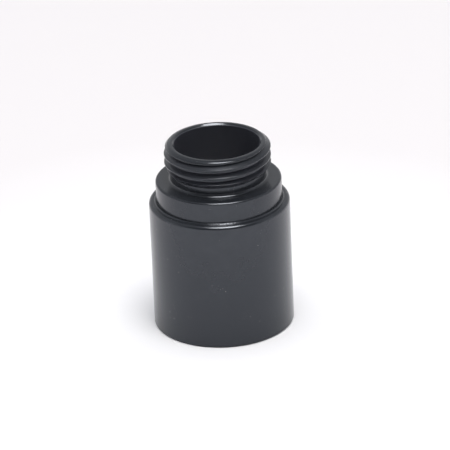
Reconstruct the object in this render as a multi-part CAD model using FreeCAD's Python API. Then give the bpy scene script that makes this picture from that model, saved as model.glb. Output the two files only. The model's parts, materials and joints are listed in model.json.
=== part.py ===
import FreeCAD, Part
import math
import os

# A focusing laser collimator head for a 1.25 inch telescope drawtube.
# Millimetres, +Z up, origin at the centre of the foot it stands on.
# The beam leaves through the foot; the battery cap screws on the neck at the top.

V = FreeCAD.Vector
UP = V(0, 0, 1)

# Barrel sleeve: the smooth outer cylinder that goes in the drawtube.
SLEEVE_R = 15.875
SLEEVE_TOP = 29.9
SLEEVE_BORE_R = 14.25
RIM_ROUND = 0.8
FOOT_BREAK = 0.3
MOUTH_BREAK = 0.2
MOUTH_LIP_R = 14.6
MOUTH_LIP_TOP = 30.2

# Neck tube: collar, threaded neck and battery bore in one turning.
TUBE_R = 14.2
TUBE_BOTTOM = 9.0
COLLAR_TOP = 34.95
COLLAR_ROUND = 0.45
NECK_TOP = 43.8
BATTERY_BORE_R = 9.65
MOUTH_CHAMFER = 0.42
BATTERY_STOP_Z = 33.0
CARRIER_BORE_R = 9.45
WEB_TOP = 23.0
WEB_BOTTOM = 19.5
WEB_HOLE_R = 5.5
SKIRT_BORE_R = 12.7

# External thread M24 x 2 on the neck; the plain land below it is turned to the root.
THREAD_CREST_R = 12.0
THREAD_ROOT_R = 10.77
THREAD_PITCH = 2.0
THREAD_START_Z = 36.4
THREAD_RUNOUT_Z = 37.1
THREAD_RUNOUT_ANGLE = 50
LIP_BREAK_R = 11.0
LIP_BREAK_Z = 42.75
LIP_BEVEL_R = 10.6
LIP_BEVEL_ANGLE = 19

# Focusing cam: three guide pins in helical grooves, 12 mm lead, 45 degrees each way.
CAM_LEAD = 12.0
CAM_HALF_TURN = 45.0
CAM_Z = 14.0
PIN_R = 0.9
PIN_TIP_R = 14.95
GROOVE_HALF_WIDTH = 0.98
GROOVE_FLOOR_R = 15.05
PIN_END_ROOM = 3.9
PIN_AZIMUTHS = [30.0, 150.0, 270.0]

# Damping O-ring between tube and sleeve.
DAMPER_Z = 26.0
DAMPER_CENTRE_R = 13.72
DAMPER_CORD_R = 0.5
DAMPER_GROOVE_R = 13.2
DAMPER_GROOVE_HALF = 0.65

# Front cell with the exit window.
CELL_R = 14.22
CELL_BOTTOM = 0.6
CELL_TOP = 7.0
WINDOW_POCKET_R = 10.2
WINDOW_R = 10.1
LENS_THREAD_R = 5.0

# Laser carrier on its pivot O-ring, held by three alignment screws.
PIVOT_Z = 23.58
PIVOT_RING_R = 6.05
PIVOT_CORD_R = 0.48
CARRIER_R = 9.2
CARRIER_BOTTOM = 24.16
CARRIER_TOP = 26.0
HUB_R = 5.15
SCREW_CIRCLE_R = 7.6
SCREW_R = 1.0
SCREW_HEAD_R = 1.6
SCREW_HEAD_Z = 26.15
SCREW_AZIMUTHS = [90.0, 210.0, 330.0]

# Laser module.
MODULE_R = 4.5
MODULE_BORE_R = 3.7
MODULE_BOTTOM = 14.4
MODULE_TOP = 30.4
DIODE_BASE_Z = 17.0


def corner(before, here, after, radius):
    """Tangent point, middle and tangent point of a round on a profile corner."""
    a = (before - here).normalize()
    b = (after - here).normalize()
    half = math.acos(max(-1.0, min(1.0, a.dot(b)))) / 2.0
    reach = radius / math.tan(half)
    bisector = (a + b).normalize()
    centre = here + bisector * (radius / math.sin(half))
    return here + a * reach, centre - bisector * radius, here + b * reach


def lathe(profile):
    """Solid of revolution about Z from (r, z) or (r, z, round) corners."""
    points = [V(p[0], 0, p[1]) for p in profile]
    rounds = [p[2] if len(p) > 2 else 0.0 for p in profile]
    edges = []
    count = len(points)
    stops = []
    for i in range(count):
        before = points[i - 1]
        after = points[(i + 1) % count]
        if rounds[i] > 0:
            stops.append(corner(before, points[i], after, rounds[i]))
        else:
            stops.append((points[i], None, points[i]))
    for i in range(count):
        start, middle, end = stops[i]
        if middle is not None:
            edges.append(Part.Arc(start, middle, end).toShape())
        following = stops[(i + 1) % count][0]
        if end.distanceToPoint(following) > 1e-6:
            edges.append(Part.makeLine(end, following))
    face = Part.Face(Part.Wire(edges))
    return face.revolve(V(0, 0, 0), UP, 360)


def ring(outer, inner, bottom, top):
    return lathe([(inner, bottom), (outer, bottom), (outer, top), (inner, top)])


def disc(radius, bottom, top):
    return Part.makeCylinder(radius, top - bottom, V(0, 0, bottom))


def torus(radius, cord, z):
    return Part.makeTorus(radius, cord, V(0, 0, z))


def turned(shape, azimuth):
    copy = shape.copy()
    copy.rotate(V(0, 0, 0), UP, azimuth)
    return copy


def around(shape, azimuths):
    return [turned(shape, a) for a in azimuths]


def cut_all(shape, tools):
    for tool in tools:
        shape = shape.cut(tool)
    return shape


def spanner_slots(outer, inner, bottom, depth, width):
    """Cutter for the two key slots across the face of a threaded ring."""
    bar = Part.makeBox(2 * outer + 2, width, depth, V(-outer - 1, -width / 2, bottom))
    return bar.cut(disc(inner - 0.4, bottom - 1, bottom + depth + 1))


def save(node, shapes):
    solids = shapes if isinstance(shapes, list) else [shapes]
    solids = [s for shape in solids for s in shape.Solids]
    out = solids[0] if len(solids) == 1 else Part.makeCompound(solids)
    out.exportStep(os.path.join("parts", node + ".step"))


def helical_sweep(profile, lead, height, radius):
    path = Part.Wire(Part.makeHelix(lead, height, radius).Edges)
    return path.makePipeShell([profile], True, True)


def cam_groove(azimuth):
    """Right-hand helical groove that carries one guide pin and stops it at both ends."""
    sweep_angle = 2 * (CAM_HALF_TURN + PIN_END_ROOM)
    rise = CAM_LEAD * sweep_angle / 360
    slope = math.atan(CAM_LEAD / (2 * math.pi * SLEEVE_BORE_R))
    half = GROOVE_HALF_WIDTH / math.cos(slope)
    inner = SLEEVE_BORE_R - 0.6
    corners = [
        V(inner, 0, -half),
        V(GROOVE_FLOOR_R, 0, -half),
        V(GROOVE_FLOOR_R, 0, half),
        V(inner, 0, half),
    ]
    profile = Part.makePolygon(corners + corners[:1])
    groove = helical_sweep(profile, CAM_LEAD, rise, SLEEVE_BORE_R)
    groove.rotate(V(0, 0, 0), UP, azimuth - sweep_angle / 2)
    groove.translate(V(0, 0, CAM_Z - rise / 2))
    return groove


def barrel_sleeve():
    tube = lathe(
        [
            (SLEEVE_BORE_R + MOUTH_BREAK, 0),
            (SLEEVE_R - FOOT_BREAK, 0),
            (SLEEVE_R, FOOT_BREAK),
            (SLEEVE_R, SLEEVE_TOP, RIM_ROUND),
            (MOUTH_LIP_R, SLEEVE_TOP),
            (MOUTH_LIP_R, MOUTH_LIP_TOP, 0.28),
            (SLEEVE_BORE_R, MOUTH_LIP_TOP),
            (SLEEVE_BORE_R, MOUTH_BREAK),
        ]
    )
    return cut_all(tube, [cam_groove(a) for a in PIN_AZIMUTHS])


def front_cell():
    plug = lathe(
        [
            (WINDOW_POCKET_R, CELL_BOTTOM),
            (CELL_R - 0.2, CELL_BOTTOM),
            (CELL_R, CELL_BOTTOM + 0.2),
            (CELL_R, CELL_TOP),
            (LENS_THREAD_R, CELL_TOP),
            (LENS_THREAD_R, 4.4),
            (4.0, 4.4),
            (4.0, 3.9),
            (WINDOW_POCKET_R, 3.9),
        ]
    )
    key_hole = Part.makeCylinder(0.8, 1.4, V(12.2, 0, CELL_BOTTOM - 0.1))
    return cut_all(plug, around(key_hole, [0, 180]))


def window_retaining_ring():
    body = ring(WINDOW_POCKET_R, 8.8, 0.9, 2.1)
    return body.cut(spanner_slots(WINDOW_POCKET_R, 8.8, 0.8, 0.7, 1.2))


def lens_cell():
    return lathe(
        [
            (3.6, 4.9),
            (LENS_THREAD_R, 4.9),
            (LENS_THREAD_R, 10.1),
            (LENS_THREAD_R - 0.3, 10.4),
            (4.2, 10.4),
            (4.2, 6.9),
            (3.6, 6.9),
        ]
    )


def collimating_lens():
    """Plano-convex lens, flat side to the laser diode, with a flat seating rim."""
    rim = disc(4.15, 6.9, 8.7)
    curve_r = 8.0
    aperture = 3.5
    drop = math.sqrt(curve_r**2 - aperture**2)
    ball = Part.makeSphere(curve_r, V(0, 0, 6.9 + drop))
    bulge = ball.common(disc(aperture, 5.0, 7.4))
    return rim.fuse(bulge).removeSplitter()


def lens_retaining_ring():
    body = ring(4.2, 3.2, 8.7, 9.7)
    return body.cut(spanner_slots(4.2, 3.2, 9.2, 0.6, 0.8))


def guide_pins():
    pin = Part.makeCylinder(PIN_R, PIN_TIP_R - 12.95, V(12.95, 0, CAM_Z), V(1, 0, 0))
    slot = Part.makeBox(0.6, 2.2, 0.35, V(12.85, -1.1, CAM_Z - 0.175))
    return around(pin.cut(slot), PIN_AZIMUTHS)


def neck_thread():
    """Right-hand 60 degree ridge, cut off by a cone at the run-out and at the lip."""
    flank = math.tan(math.radians(30))
    base_r = THREAD_ROOT_R - 0.25
    top_half = THREAD_PITCH / 16
    base_half = top_half + (THREAD_CREST_R - base_r) * flank
    corners = [
        V(base_r, 0, -base_half),
        V(THREAD_CREST_R, 0, -top_half),
        V(THREAD_CREST_R, 0, top_half),
        V(base_r, 0, base_half),
    ]
    profile = Part.makePolygon(corners + corners[:1])
    ridge = helical_sweep(profile, THREAD_PITCH, 8.6, THREAD_CREST_R)
    ridge.translate(V(0, 0, THREAD_START_Z))
    reach = THREAD_CREST_R + 0.3
    climb = (reach - THREAD_ROOT_R) * math.tan(math.radians(THREAD_RUNOUT_ANGLE))
    envelope = lathe(
        [
            (base_r - 1, THREAD_RUNOUT_Z),
            (THREAD_ROOT_R, THREAD_RUNOUT_Z),
            (reach, THREAD_RUNOUT_Z + climb),
            (reach, LIP_BREAK_Z - 0.3),
            (LIP_BREAK_R, NECK_TOP),
            (base_r - 1, NECK_TOP),
        ]
    )
    return ridge.common(envelope)


def lip_bevel():
    """Ring that is turned away to ease the outer edge of the lip."""
    slope = math.tan(math.radians(LIP_BEVEL_ANGLE))
    return lathe(
        [
            (LIP_BEVEL_R - 0.3, NECK_TOP + 0.3 * slope),
            (LIP_BEVEL_R + 1.0, NECK_TOP - slope),
            (LIP_BEVEL_R + 1.0, NECK_TOP + 1.0),
            (LIP_BEVEL_R - 0.3, NECK_TOP + 1.0),
        ]
    )


def neck_tube():
    body = lathe(
        [
            (SKIRT_BORE_R, TUBE_BOTTOM),
            (TUBE_R - 0.3, TUBE_BOTTOM),
            (TUBE_R, TUBE_BOTTOM + 0.3),
            (TUBE_R, DAMPER_Z - DAMPER_GROOVE_HALF),
            (DAMPER_GROOVE_R, DAMPER_Z - DAMPER_GROOVE_HALF),
            (DAMPER_GROOVE_R, DAMPER_Z + DAMPER_GROOVE_HALF),
            (TUBE_R, DAMPER_Z + DAMPER_GROOVE_HALF),
            (TUBE_R, COLLAR_TOP, COLLAR_ROUND),
            (THREAD_ROOT_R, COLLAR_TOP, 0.7),
            (THREAD_ROOT_R, NECK_TOP),
            (BATTERY_BORE_R + MOUTH_CHAMFER, NECK_TOP),
            (BATTERY_BORE_R, NECK_TOP - MOUTH_CHAMFER),
            (BATTERY_BORE_R, BATTERY_STOP_Z),
            (CARRIER_BORE_R, BATTERY_STOP_Z),
            (CARRIER_BORE_R, WEB_TOP),
            (WEB_HOLE_R, WEB_TOP),
            (WEB_HOLE_R, WEB_BOTTOM),
            (SKIRT_BORE_R, WEB_BOTTOM),
        ]
    )
    body = body.fuse(neck_thread()).cut(lip_bevel())
    pin_hole = Part.makeCylinder(PIN_R, 3.0, V(12.0, 0, CAM_Z), V(1, 0, 0))
    tapped = Part.makeCylinder(SCREW_R + 0.03, 6.0, V(SCREW_CIRCLE_R, 0, 18.0))
    return cut_all(body, around(pin_hole, PIN_AZIMUTHS) + around(tapped, SCREW_AZIMUTHS))


def laser_carrier():
    body = lathe(
        [
            (MODULE_R, 17.0),
            (HUB_R, 17.0),
            (HUB_R, CARRIER_BOTTOM),
            (CARRIER_R, CARRIER_BOTTOM),
            (CARRIER_R, CARRIER_TOP - 0.2),
            (CARRIER_R - 0.2, CARRIER_TOP),
            (MODULE_R, CARRIER_TOP),
        ]
    )
    clearance = Part.makeCylinder(1.25, 4.0, V(SCREW_CIRCLE_R, 0, 23.0))
    set_hole = Part.makeCylinder(0.7, 6.0, V(4.0, 0, 25.08), V(1, 0, 0))
    return cut_all(body, around(clearance, SCREW_AZIMUTHS) + [turned(set_hole, 270)])


def module_set_screw():
    screw = Part.makeCylinder(0.7, 3.6, V(MODULE_R, 0, 25.08), V(1, 0, 0))
    slot = Part.makeBox(0.6, 1.8, 0.3, V(MODULE_R + 3.1, -0.9, 24.93))
    return turned(screw.cut(slot), 270)


def alignment_screw(azimuth):
    """M2 socket cap screw pulling the carrier down on the pivot O-ring."""
    shank = Part.makeCylinder(SCREW_R, SCREW_HEAD_Z - 20.3, V(0, 0, 20.3))
    head = lathe(
        [
            (0, SCREW_HEAD_Z),
            (SCREW_HEAD_R, SCREW_HEAD_Z),
            (SCREW_HEAD_R, SCREW_HEAD_Z + 1.9, 0.2),
            (0, SCREW_HEAD_Z + 1.9),
        ]
    )
    first = V(0.87, 0, SCREW_HEAD_Z + 0.9)
    hexagon = []
    for k in range(7):
        point = FreeCAD.Rotation(UP, 60 * k).multVec(first)
        hexagon.append(point)
    socket = Part.Face(Part.makePolygon(hexagon)).extrude(V(0, 0, 1.2))
    screw = shank.fuse(head).cut(socket).removeSplitter()
    screw.translate(V(SCREW_CIRCLE_R, 0, 0))
    return turned(screw, azimuth)


def module_housing():
    return lathe(
        [
            (2.0, MODULE_BOTTOM),
            (MODULE_R - 0.3, MODULE_BOTTOM),
            (MODULE_R, MODULE_BOTTOM + 0.3),
            (MODULE_R, MODULE_TOP),
            (MODULE_BORE_R, MODULE_TOP),
            (MODULE_BORE_R, DIODE_BASE_Z + 1.2),
            (2.8, DIODE_BASE_Z + 1.2),
            (2.8, DIODE_BASE_Z),
            (2.0, DIODE_BASE_Z),
        ]
    )


def diode_base():
    base = disc(2.8, DIODE_BASE_Z, DIODE_BASE_Z + 1.2)
    block = Part.makeBox(1.6, 0.8, 1.2, V(-0.8, -1.2, DIODE_BASE_Z - 1.2))
    return base.fuse(block).removeSplitter()


def diode_cap():
    return lathe(
        [
            (0.75, 14.9),
            (1.8, 14.9),
            (1.8, DIODE_BASE_Z),
            (1.55, DIODE_BASE_Z),
            (1.55, 15.1),
            (0.75, 15.1),
        ]
    )


def diode_pins():
    top = DIODE_BASE_Z + 1.2
    legs = []
    for x in (-1.046, 1.046):
        legs.append(Part.makeCylinder(0.22, 3.4, V(x, 0.74, top)))
    legs.append(Part.makeCylinder(0.22, 0.7, V(0, -1.27, top)))
    return legs


def driver_board():
    board = Part.makeBox(6.8, 1.0, 7.0, V(-3.4, -0.5, 19.2))
    via = Part.makeCylinder(0.25, 2.0, V(2.7, -1.0, 20.4), V(0, 1, 0))
    return board.cut(via)


def driver_chip():
    body = Part.makeBox(3.0, 1.1, 2.4, V(-1.5, -1.65, 22.0))
    legs = []
    for x in (-1.75, 1.5):
        for k in range(4):
            legs.append(Part.makeBox(0.25, 0.5, 0.25, V(x, -1.0, 22.15 + 0.62 * k)))
    return body.fuse(legs)


def trim_potentiometer():
    body = Part.makeBox(2.6, 1.0, 2.4, V(-1.3, 0.5, 22.7))
    dial = Part.makeCylinder(0.9, 0.4, V(0, 1.5, 23.9), V(0, 1, 0))
    slot = Part.makeBox(1.4, 0.25, 0.3, V(-0.7, 1.7, 23.75))
    return body.fuse(dial).cut(slot)


def chip_resistors():
    return [Part.makeBox(0.8, 0.4, 1.4, V(x, 0.5, 22.9)) for x in (-2.6, 1.8)]


def capacitor():
    return Part.makeBox(2.0, 1.0, 1.2, V(-1.0, -1.5, 20.2))


def rear_insulator():
    """Moulded plug that closes the module and guides the contact plunger."""
    return lathe(
        [
            (0.4, 26.6),
            (MODULE_BORE_R, 26.6),
            (MODULE_BORE_R, MODULE_TOP),
            (MODULE_R, MODULE_TOP),
            (MODULE_R, 31.2),
            (MODULE_R - 0.2, 31.4),
            (1.05, 31.4),
            (1.05, 30.6),
            (1.75, 30.6),
            (1.75, 27.4),
            (0.4, 27.4),
        ]
    )


def spring_seat():
    return disc(1.7, 27.4, 27.7).fuse(disc(0.4, 26.2, 27.5)).removeSplitter()


def contact_spring():
    """Three turns, so that the coil closes solid at 0.8 mm, just under the plunger's full travel."""
    wire_r = 0.1
    coil_r = 1.35
    height = 2.3 - 2 * wire_r
    profile = Part.Wire(Part.makeCircle(wire_r, V(coil_r, 0, 0), V(0, 1, 0)))
    coil = helical_sweep(profile, height / 3, height, coil_r)
    coil.translate(V(0, 0, 27.7 + wire_r))
    return coil


def contact_plunger():
    return lathe(
        [
            (0, 30.02),
            (1.65, 30.02),
            (1.65, 30.57),
            (1.0, 30.57),
            (1.0, 32.9, 0.6),
            (0, 32.9),
        ]
    )


os.makedirs("parts", exist_ok=True)

save("barrel_sleeve", barrel_sleeve())
save("front_cell", front_cell())
save("exit_window", disc(WINDOW_R, 2.1, 3.4))
save("window_gasket", ring(WINDOW_R, 8.6, 3.4, 3.9))
save("window_retaining_ring", window_retaining_ring())
save("aperture_stop", ring(LENS_THREAD_R, 2.5, 4.4, 4.9))
save("lens_cell", lens_cell())
save("collimating_lens", collimating_lens())
save("lens_retaining_ring", lens_retaining_ring())
save("damping_o_ring", torus(DAMPER_CENTRE_R, DAMPER_CORD_R, DAMPER_Z))
save("neck_tube", neck_tube())
save("guide_pins", guide_pins())
save("pivot_o_ring", torus(PIVOT_RING_R, PIVOT_CORD_R, PIVOT_Z))
save("laser_carrier", laser_carrier())
save("module_set_screw", module_set_screw())
for number, azimuth in enumerate(SCREW_AZIMUTHS, 1):
    save("alignment_screw_%d" % number, alignment_screw(azimuth))
save("module_housing", module_housing())
save("diode_base", diode_base())
save("diode_cap", diode_cap())
save("diode_window", disc(1.5, 15.1, 15.4))
save("diode_pins", diode_pins())
save("driver_board", driver_board())
save("driver_chip", driver_chip())
save("trim_potentiometer", trim_potentiometer())
save("chip_resistors", chip_resistors())
save("capacitor", capacitor())
save("rear_insulator", rear_insulator())
save("spring_seat", spring_seat())
save("contact_spring", contact_spring())
save("contact_plunger", contact_plunger())
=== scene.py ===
import json
import math

import bmesh
import bpy
from mathutils import Matrix, Vector


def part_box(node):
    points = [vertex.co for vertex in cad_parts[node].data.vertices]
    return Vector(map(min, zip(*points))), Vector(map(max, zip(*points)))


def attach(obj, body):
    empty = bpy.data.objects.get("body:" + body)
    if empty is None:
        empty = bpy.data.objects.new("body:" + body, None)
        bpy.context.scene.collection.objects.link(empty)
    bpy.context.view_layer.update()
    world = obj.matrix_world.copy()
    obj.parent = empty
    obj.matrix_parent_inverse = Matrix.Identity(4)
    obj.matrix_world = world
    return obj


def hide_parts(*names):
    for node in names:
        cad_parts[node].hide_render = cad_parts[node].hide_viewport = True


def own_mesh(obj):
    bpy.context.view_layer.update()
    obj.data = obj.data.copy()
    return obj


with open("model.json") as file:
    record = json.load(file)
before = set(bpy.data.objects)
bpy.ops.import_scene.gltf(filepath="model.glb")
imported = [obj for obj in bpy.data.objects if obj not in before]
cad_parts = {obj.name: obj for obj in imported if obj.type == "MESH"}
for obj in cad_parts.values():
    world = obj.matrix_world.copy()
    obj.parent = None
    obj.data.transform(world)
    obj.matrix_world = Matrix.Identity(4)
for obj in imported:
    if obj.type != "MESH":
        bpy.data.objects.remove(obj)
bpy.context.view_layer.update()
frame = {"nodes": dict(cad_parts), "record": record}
nodes = frame["nodes"]

# ---------------------------------------------------------------- camera
# A long lens from the front, 25 degrees above the table, rolled a little.
ELEVATION = math.radians(25.34)
DISTANCE = 0.9525
LENS = 337.2
ROLL = math.radians(-2.5)
AIM_HEIGHT = 0.0206
AIM_RIGHT = 0.00103
AIM_UP = 0.00219

back = Vector((0, -math.cos(ELEVATION), math.sin(ELEVATION)))
right = Vector((1, 0, 0))
up = back.cross(right)
place = Vector((0, 0, AIM_HEIGHT)) + back * DISTANCE
forward = (right * AIM_RIGHT + up * AIM_UP - back * DISTANCE).normalized()
side = forward.cross(up).normalized()
top = side.cross(forward)
rolled_side = side * math.cos(ROLL) + top * math.sin(ROLL)
rolled_top = top * math.cos(ROLL) - side * math.sin(ROLL)
camera_data = bpy.data.cameras.new("camera")
camera_data.lens = LENS
camera_data.sensor_width = 36
camera_data.clip_start = 0.05
camera_data.clip_end = 20
camera = bpy.data.objects.new("camera", camera_data)
axes = Matrix((rolled_side, rolled_top, -forward)).transposed()
camera.matrix_world = Matrix.Translation(place) @ axes.to_4x4()
bpy.context.scene.collection.objects.link(camera)
bpy.context.scene.camera = camera

# ---------------------------------------------------------------- materials
# Heights and radii on the part, in metres, between which the black anodising changes.
# Painted shade: between these heights the sleeve's colour is painted darker towards the foot and a little
# lighter near the top.
PAINTED_SHADE_HEIGHTS = (0.002, 0.027)
BORE_RADII = (0.0097, 0.0098)
ROOT_RADII = (0.0109, 0.0119)
THREAD_FOOT = (0.0372, 0.0376)
THREAD_HEAD = (0.0422, 0.0425)
EASED_EDGE = 0.00018
TOOL_MARK_PITCH = 0.00012

# Noise runs from 0 to 1, but most of it lies between these.
NOISE_RANGE = (0.3, 0.7)

# Colours of the anodising: a bluish sheen over near black, its dust, its bore, and painted light for its
# thread's root.
SHEEN = (0.84, 0.895, 1.0, 1)
DEEP_BLACK = (0.0145, 0.0165, 0.0205)
PALE_BLACK = (0.0205, 0.023, 0.0275)
DUST = (0.36, 0.35, 0.34, 1)
BORE_GREY = (0.031, 0.033, 0.044)
ROOT_PAINTED_LIGHT = (0.05, 0.052, 0.063)


class Shader:
    """A small helper that strings material nodes together."""

    def __init__(self, name):
        self.material = bpy.data.materials.new(name)
        self.material.use_nodes = True
        self.tree = self.material.node_tree
        self.base = self.tree.nodes["Principled BSDF"]
        self.place = self.add("ShaderNodeTexCoord").outputs["Object"]

    def add(self, kind, **values):
        node = self.tree.nodes.new(kind)
        for key, value in values.items():
            setattr(node, key, value)
        return node

    def feed(self, socket, value):
        """Links a node's output to the socket, or sets a number or colour on it."""
        if isinstance(value, bpy.types.NodeSocket):
            self.tree.links.new(value, socket)
        else:
            socket.default_value = value

    def put(self, name, value):
        self.feed(self.base.inputs[name], value)

    def along(self, axis):
        """The place along X, Y or Z."""
        split = self.add("ShaderNodeSeparateXYZ")
        self.feed(split.inputs["Vector"], self.place)
        return split.outputs[axis]

    def radius(self):
        """Distance from the part's axis."""
        squares = [self.maths("MULTIPLY", self.along(axis), self.along(axis)) for axis in "XY"]
        return self.maths("SQRT", self.maths("ADD", *squares), 0.0)

    def noise(self, size, detail, rough=0.5, place=None):
        """Soft noise with size bumps to the metre."""
        node = self.add("ShaderNodeTexNoise")
        node.inputs["Scale"].default_value = size
        node.inputs["Detail"].default_value = detail
        node.inputs["Roughness"].default_value = rough
        self.feed(node.inputs["Vector"], self.place if place is None else place)
        return node.outputs["Fac"]

    def span(self, value, low, high, to_low, to_high):
        node = self.add("ShaderNodeMapRange")
        self.feed(node.inputs["Value"], value)
        node.inputs["From Min"].default_value = low
        node.inputs["From Max"].default_value = high
        node.inputs["To Min"].default_value = to_low
        node.inputs["To Max"].default_value = to_high
        return node.outputs["Result"]

    def maths(self, operation, a, b):
        node = self.add("ShaderNodeMath", operation=operation)
        self.feed(node.inputs[0], a)
        self.feed(node.inputs[1], b)
        return node.outputs["Value"]

    def mixed(self, factor, a, b, blend="MIX"):
        node = self.add("ShaderNodeMix", data_type="RGBA", blend_type=blend)
        self.feed(node.inputs["Factor"], factor)
        self.feed(node.inputs["A"], a)
        self.feed(node.inputs["B"], b)
        return node.outputs["Result"]

    def ramp(self, value, stops):
        node = self.add("ShaderNodeValToRGB")
        elements = node.color_ramp.elements
        while len(elements) < len(stops):
            elements.new(0.5)
        for element, (position, colour) in zip(elements, stops):
            element.position = position
            element.color = (*colour, 1)
        self.feed(node.inputs["Fac"], value)
        return node.outputs["Color"]

    def cloudy(self, dark, pale, size, rough=0.5):
        """Soft blotches between two colours."""
        return self.ramp(self.noise(size, 4, rough), list(zip(NOISE_RANGE, (dark, pale))))

    def uneven(self, noise, low, high):
        """A value that noise moves about between low and high."""
        return self.span(noise, *NOISE_RANGE, low, high)

    def turning(self, strength):
        """Fine concentric and round-the-wall tool marks, as a height."""
        line = self.add("ShaderNodeCombineXYZ")
        self.feed(line.inputs["X"], self.maths("ADD", self.radius(), self.along("Z")))
        marks = self.noise(1 / TOOL_MARK_PITCH, detail=3, place=line.outputs["Vector"])
        return self.maths("MULTIPLY", marks, strength)

    def bump(self, height, distance, strength, edge=0.0):
        """Raises the surface by height; edge eases the sharp edges to that radius."""
        node = self.add("ShaderNodeBump")
        if edge > 0:
            eased = self.add("ShaderNodeBevel", samples=6)
            eased.inputs["Radius"].default_value = edge
            self.feed(node.inputs["Normal"], eased.outputs["Normal"])
        node.inputs["Distance"].default_value = distance
        node.inputs["Strength"].default_value = strength
        self.feed(node.inputs["Height"], height)
        self.put("Normal", node.outputs["Normal"])


def anodised(name, dark, pale, rough, dust, painted_shade_by_height=None, neck=False):
    """Glossy black anodising with specks of dust.

    The height setting paints the colour darker towards the foot and a little lighter near the barrel's top,
    its two numbers being the factors there: painted shade and painted light.
    neck makes the bore greyer and duller and the thread a little duller, and paints the thread's root
    paler: painted light that lifts the shade in its crevices.
    """
    s = Shader(name)
    s.put("Metallic", 0.0)
    s.put("IOR", 1.6)
    s.put("Specular Tint", SHEEN)
    colour = s.cloudy(dark, pale, 260, rough=0.6)
    # Painted shade and light: the colour is multiplied darker towards the foot and a little lighter near
    # the top.
    if painted_shade_by_height:
        colour = s.mixed(1.0, colour, s.span(s.along("Z"), *PAINTED_SHADE_HEIGHTS, *painted_shade_by_height), blend="MULTIPLY")
    speck = s.span(s.noise(2600, detail=1), 0.755, 0.785, 0, 1)
    patch = s.span(s.noise(120, detail=1), 0.45, 0.6, 0, 1)
    dots = s.maths("MULTIPLY", s.maths("MULTIPLY", speck, patch), dust)
    colour = s.mixed(dots, colour, DUST)
    roughness = s.uneven(s.noise(900, detail=3), rough * 0.85, rough * 1.2)
    if neck:
        bore = s.span(s.radius(), *BORE_RADII, 1, 0)
        root = s.span(s.radius(), *ROOT_RADII, 1, 0.1)
        above = s.span(s.along("Z"), *THREAD_FOOT, 0, 1)
        below = s.span(s.along("Z"), *THREAD_HEAD, 1, 0)
        threaded = s.maths("MULTIPLY", above, below)
        # The bore is paler and matte; the thread's root is painted paler, painted light that lifts the
        # shade in the crevices.
        pale_bore_and_root_light = s.maths("MAXIMUM", bore, s.maths("MULTIPLY", root, threaded))
        colour = s.mixed(pale_bore_and_root_light, colour, s.ramp(bore, [(0.0, ROOT_PAINTED_LIGHT), (1.0, BORE_GREY)]))
        roughness = s.maths("ADD", roughness, s.maths("MULTIPLY", bore, 0.35))
        roughness = s.maths("ADD", roughness, s.maths("MULTIPLY", threaded, 0.03))
    s.put("Base Color", colour)
    s.put("Roughness", roughness)
    grain = s.maths("ADD", s.turning(0.6), s.noise(9000, detail=2))
    s.bump(grain, distance=0.000003, strength=0.25, edge=EASED_EDGE)
    return s.material


def metal(name, dark, pale, rough):
    s = Shader(name)
    s.put("Metallic", 1.0)
    s.put("Base Color", s.cloudy(dark, pale, 700))
    s.put("Roughness", s.uneven(s.turning(1.0), rough * 0.7, rough * 1.3))
    s.bump(s.turning(1.0), distance=0.000006, strength=0.4)
    return s.material


def moulded(name, dark, pale, rough):
    """Plastic, rubber, paint or ceramic with a fine grain."""
    s = Shader(name)
    s.put("Metallic", 0.0)
    s.put("Base Color", s.cloudy(dark, pale, 900))
    s.put("Roughness", s.uneven(s.noise(1600, detail=3), rough * 0.85, rough * 1.15))
    s.bump(s.noise(12000, detail=3), distance=0.000008, strength=0.4)
    return s.material


def glass(name, tint, coat):
    s = Shader(name)
    s.put("Base Color", (*tint, 1))
    s.put("Transmission Weight", 1.0)
    s.put("IOR", 1.52)
    s.put("Coat Weight", 1.0)
    s.put("Coat Tint", (*coat, 1))
    s.put("Roughness", s.span(s.noise(1500, detail=3), 0.3, 0.75, 0.01, 0.05))
    s.bump(s.noise(500, detail=2), distance=0.000001, strength=0.2)
    return s.material


def board(name):
    """Green solder mask with paler tracks under it."""
    s = Shader(name)
    s.put("Coat Weight", 0.4)
    brick = s.add("ShaderNodeTexBrick")
    brick.inputs["Scale"].default_value = 900
    brick.inputs["Mortar Size"].default_value = 0.03
    brick.inputs["Color1"].default_value = (0.012, 0.12, 0.04, 1)
    brick.inputs["Color2"].default_value = (0.016, 0.15, 0.05, 1)
    brick.inputs["Mortar"].default_value = (0.05, 0.3, 0.1, 1)
    upright = s.add("ShaderNodeMapping")
    upright.inputs["Rotation"].default_value = (math.radians(90), 0, 0)
    s.feed(upright.inputs["Vector"], s.place)
    s.feed(brick.inputs["Vector"], upright.outputs["Vector"])
    s.put("Base Color", brick.outputs["Color"])
    s.put("Roughness", s.uneven(s.noise(1800, detail=3), 0.25, 0.4))
    s.bump(brick.outputs["Fac"], distance=0.00002, strength=0.3)
    return s.material


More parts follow.
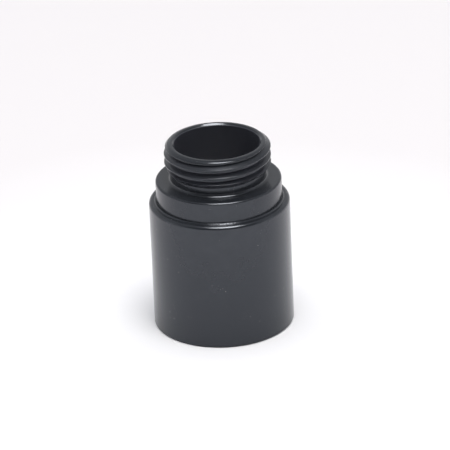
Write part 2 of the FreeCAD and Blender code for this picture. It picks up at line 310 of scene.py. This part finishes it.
# Each material slot's kind and its looks: mostly a dark colour, a pale colour and a roughness.
kinds = {
    # The sleeve's last pair is painted shade by height: 0.4 at the foot, 1.12 near the top.
    "sleeve_anodised": (anodised, DEEP_BLACK, PALE_BLACK, 0.18, 0.9, (0.4, 1.12)),
    "neck_anodised": (anodised, DEEP_BLACK, PALE_BLACK, 0.18, 0.7, None, True),
    "cell_anodised": (anodised, (0.013, 0.013, 0.015), (0.02, 0.02, 0.022), 0.38, 0.2),
    "window_glass": (glass, (0.97, 0.99, 0.98), (0.8, 0.86, 1.0)),
    "gasket_rubber": (moulded, (0.012, 0.012, 0.012), (0.022, 0.022, 0.022), 0.7),
    "matte_black": (moulded, (0.008, 0.008, 0.008), (0.014, 0.014, 0.014), 0.85),
    "lens_cell_brass": (metal, (0.56, 0.38, 0.14), (0.68, 0.48, 0.2), 0.3),
    "lens_glass": (glass, (0.96, 0.98, 1.0), (0.7, 0.78, 1.0)),
    "o_ring_rubber": (moulded, (0.01, 0.01, 0.01), (0.02, 0.02, 0.02), 0.5),
    "pin_steel": (metal, (0.5, 0.5, 0.51), (0.62, 0.62, 0.63), 0.22),
    "carrier_aluminium": (metal, (0.66, 0.67, 0.69), (0.8, 0.8, 0.82), 0.32),
    "black_steel": (metal, (0.03, 0.03, 0.032), (0.06, 0.06, 0.064), 0.35),
    "module_brass": (metal, (0.6, 0.42, 0.17), (0.72, 0.53, 0.24), 0.28),
    "diode_gold": (metal, (0.82, 0.58, 0.22), (0.9, 0.68, 0.3), 0.15),
    "board_laminate": (board,),
    "chip_plastic": (moulded, (0.014, 0.014, 0.016), (0.026, 0.026, 0.028), 0.55),
    "trim_plastic": (moulded, (0.5, 0.52, 0.56), (0.62, 0.64, 0.68), 0.4),
    "capacitor_ceramic": (moulded, (0.3, 0.18, 0.09), (0.42, 0.27, 0.15), 0.45),
    "insulator_plastic": (moulded, (0.014, 0.014, 0.015), (0.026, 0.026, 0.028), 0.42),
    "contact_gold": (metal, (0.84, 0.6, 0.24), (0.92, 0.7, 0.32), 0.14),
    "spring_steel": (metal, (0.55, 0.55, 0.57), (0.7, 0.7, 0.72), 0.18),
}
finishes = {slot: make(slot, *looks) for slot, (make, *looks) in kinds.items()}
for part in frame["record"]["subparts"]:
    mesh = nodes[part["node"]].data
    mesh.materials.clear()
    mesh.materials.append(finishes[part["material_slot"]])

# ---------------------------------------------------------------- contact spring
COIL_R = 0.00135
WIRE_R = 0.0001
TURNS = 3
STEPS_PER_TURN = 48
WIRE_SIDES = 12


def coil(name, coil_r, wire_r, low, high, turns, material):
    """A round wire wound from low to high, with flat cut ends."""
    steps = int(turns * STEPS_PER_TURN)
    rise = high - low - 2 * wire_r
    slope = math.atan2(rise, math.tau * turns * coil_r)
    round_wire = [math.tau * j / WIRE_SIDES for j in range(WIRE_SIDES)]
    mesh = bmesh.new()
    rings = []
    for k in range(steps + 1):
        a = math.tau * turns * k / steps
        out = Vector((math.cos(a), math.sin(a), 0))
        across = Vector((math.sin(a) * math.sin(slope), -math.cos(a) * math.sin(slope), math.cos(slope)))
        centre = out * coil_r + Vector((0, 0, low + wire_r + rise * k / steps))
        spokes = [out * math.cos(t) + across * math.sin(t) for t in round_wire]
        rings.append([mesh.verts.new(centre + spoke * wire_r) for spoke in spokes])
    for here, there in zip(rings, rings[1:]):
        for j in range(WIRE_SIDES):
            k = (j + 1) % WIRE_SIDES
            mesh.faces.new((here[j], there[j], there[k], here[k])).smooth = True
    mesh.faces.new(rings[0])
    mesh.faces.new(rings[-1][::-1])
    bmesh.ops.recalc_face_normals(mesh, faces=mesh.faces)
    data = bpy.data.meshes.new(name)
    mesh.to_mesh(data)
    mesh.free()
    data.materials.append(material)
    piece = bpy.data.objects.new(name, data)
    bpy.context.scene.collection.objects.link(piece)
    return piece


# The wire closes up as the plunger goes in, so this coil stands for the CAD one.
spring_low, spring_high = (corner[2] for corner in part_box("contact_spring"))
spring = coil("contact_coil", COIL_R, WIRE_R, spring_low, spring_high, TURNS, finishes["spring_steel"])
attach(spring, "laser")
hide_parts("contact_spring")
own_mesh(spring)

# ---------------------------------------------------------------- table
TABLE_REACH = 2.5
# Painted light on the paper: it is painted pale round the foot, a little greyer from 0.1 m out as painted
# shade, and palest in front as painted light.
PAINTED_FOOT_LIGHT = (0.925, 0.937, 0.965)
PAINTED_FAR_SHADE = (0.795, 0.782, 0.8)
PAINTED_FRONT_LIGHT = (0.97, 0.97, 0.98, 1)
PAINTED_POOL_RADII = (0.02, 0.1)
PAINTED_FRONT_PLACES = (-0.02, -0.07)

corners = [(x * TABLE_REACH, y * TABLE_REACH, 0) for x, y in ((-1, -1), (1, -1), (1, 1), (-1, 1))]
floor_mesh = bpy.data.meshes.new("floor")
floor_mesh.from_pydata(corners, [], [(0, 1, 2, 3)])
floor = bpy.data.objects.new("floor", floor_mesh)
bpy.context.scene.collection.objects.link(floor)
paper = Shader("table_white")
paper.put("Roughness", 0.9)
paper.put("Specular IOR Level", 0.2)
wander = paper.span(paper.noise(9, detail=3), 0.0, 1.0, -0.02, 0.02)
painted_pool = paper.maths("ADD", paper.radius(), wander)
painted_pool_colour = paper.ramp(painted_pool, list(zip(PAINTED_POOL_RADII, (PAINTED_FOOT_LIGHT, PAINTED_FAR_SHADE))))
# Painted light: the paper is painted palest in front of the part.
front = paper.span(paper.along("Y"), *PAINTED_FRONT_PLACES, 0, 1)
paper.put("Base Color", paper.mixed(front, painted_pool_colour, PAINTED_FRONT_LIGHT))
floor_mesh.materials.append(paper.material)


# ---------------------------------------------------------------- light
def area_light(name, azimuth, elevation, distance, size, power, colour, glossy=True, diffuse=True):
    """A round lamp that faces the part; azimuth is measured from the front towards +X."""
    data = bpy.data.lights.new(name, "AREA")
    data.shape = "DISK"
    data.size = size
    data.energy = power
    data.color = colour
    light = bpy.data.objects.new(name, data)
    a = math.radians(azimuth)
    e = math.radians(elevation)
    towards = Vector((math.sin(a) * math.cos(e), -math.cos(a) * math.cos(e), math.sin(e)))
    light.location = towards * distance
    light.rotation_mode = "QUATERNION"
    light.rotation_quaternion = towards.to_track_quat("Z", "Y")
    light.visible_glossy = glossy
    light.visible_diffuse = diffuse
    bpy.context.scene.collection.objects.link(light)


WARM = (1, 0.97, 0.93)
NEUTRAL = (0.99, 0.98, 1)
area_light("key", azimuth=22, elevation=72, distance=1.6, size=0.8, power=11, colour=WARM)
area_light("fill", azimuth=0, elevation=88, distance=2.0, size=2.6, power=30, colour=NEUTRAL, glossy=False)
area_light("window", azimuth=14, elevation=71, distance=1.6, size=1.0, power=24, colour=WARM, diffuse=False)

# The tent is pale all round, with a dark gap in front, between the table and the top light.
# Each level is a brightness at a height, which runs from 0 at the horizon to 1 overhead.
TENT_LEVELS = [(0.0, 0.9), (0.2, 0.7), (0.43, 0.53), (0.7, 0.38), (0.88, 0.27), (1.0, 0.4)]
GAP_FRONT = (-0.2, -0.6)
GAP_TOP = (0.85, 0.65)
GAP_COLOUR = (0.05, 0.05, 0.052, 1)

world = bpy.data.worlds.new("tent")
bpy.context.scene.world = world
world.use_nodes = True
tree = world.node_tree
coords = tree.nodes.new("ShaderNodeTexCoord")
split = tree.nodes.new("ShaderNodeSeparateXYZ")
tree.links.new(coords.outputs["Generated"], split.inputs["Vector"])


def step(value, low, high):
    """Smooth 0 to 1 as value goes from low to high."""
    node = tree.nodes.new("ShaderNodeMapRange")
    node.interpolation_type = "SMOOTHSTEP"
    node.inputs["From Min"].default_value = low
    node.inputs["From Max"].default_value = high
    tree.links.new(value, node.inputs["Value"])
    return node.outputs["Result"]


ramp = tree.nodes.new("ShaderNodeValToRGB")
tree.links.new(split.outputs["Z"], ramp.inputs["Fac"])
elements = ramp.color_ramp.elements
while len(elements) < len(TENT_LEVELS):
    elements.new(0.5)
for element, (position, level) in zip(elements, TENT_LEVELS):
    element.position = position
    element.color = (level, level, level * 1.01, 1)
gap = tree.nodes.new("ShaderNodeMath")
gap.operation = "MULTIPLY"
tree.links.new(step(split.outputs["Y"], *GAP_FRONT), gap.inputs[0])
tree.links.new(step(split.outputs["Z"], *GAP_TOP), gap.inputs[1])
tent = tree.nodes.new("ShaderNodeMix")
tent.data_type = "RGBA"
tree.links.new(gap.outputs["Value"], tent.inputs["Factor"])
tree.links.new(ramp.outputs["Color"], tent.inputs["A"])
tent.inputs["B"].default_value = GAP_COLOUR
tree.links.new(tent.outputs["Result"], tree.nodes["Background"].inputs["Color"])

bpy.context.scene.view_settings.view_transform = "Standard"
